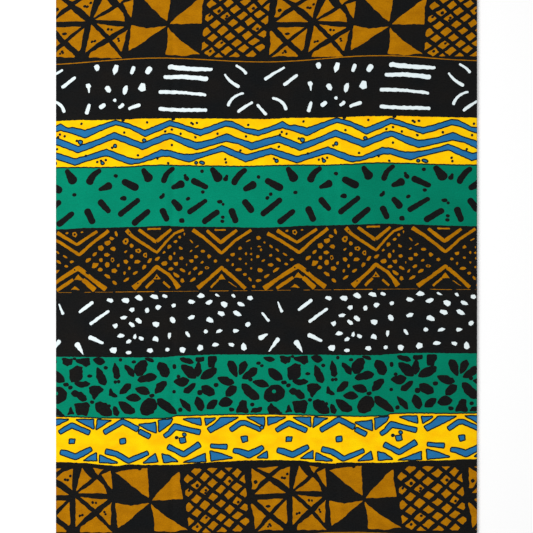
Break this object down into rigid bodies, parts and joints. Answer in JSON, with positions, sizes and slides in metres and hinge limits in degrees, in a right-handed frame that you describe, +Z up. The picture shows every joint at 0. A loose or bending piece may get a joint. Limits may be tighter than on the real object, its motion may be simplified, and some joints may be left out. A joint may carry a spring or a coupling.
{
  "type": "folded length of wax print cotton fabric",
  "caption": "Length of banded wax print cotton cloth, folded in half along its length and laid flat, with a soft rounded fold, selvedges and cut ends.",
  "frame": {"origin": "on the surface the cloth lies on, under the middle of its outline", "axes": "+Z up out of the printed face, +Y along the cloth's length towards the top of the print, +X across it towards the fold, with the two selvedges at -X"},
  "size_m": [0.5716, 0.9144, 0.0058],
  "materials": {
    "printed_cotton": "plain woven cotton, resin printed in flat inks, faint crisp sheen"
  },
  "bodies": {
    "root": {"upper_half_with_fold": "printed_cotton", "under_half": "printed_cotton"}
  },
  "joints": []
}
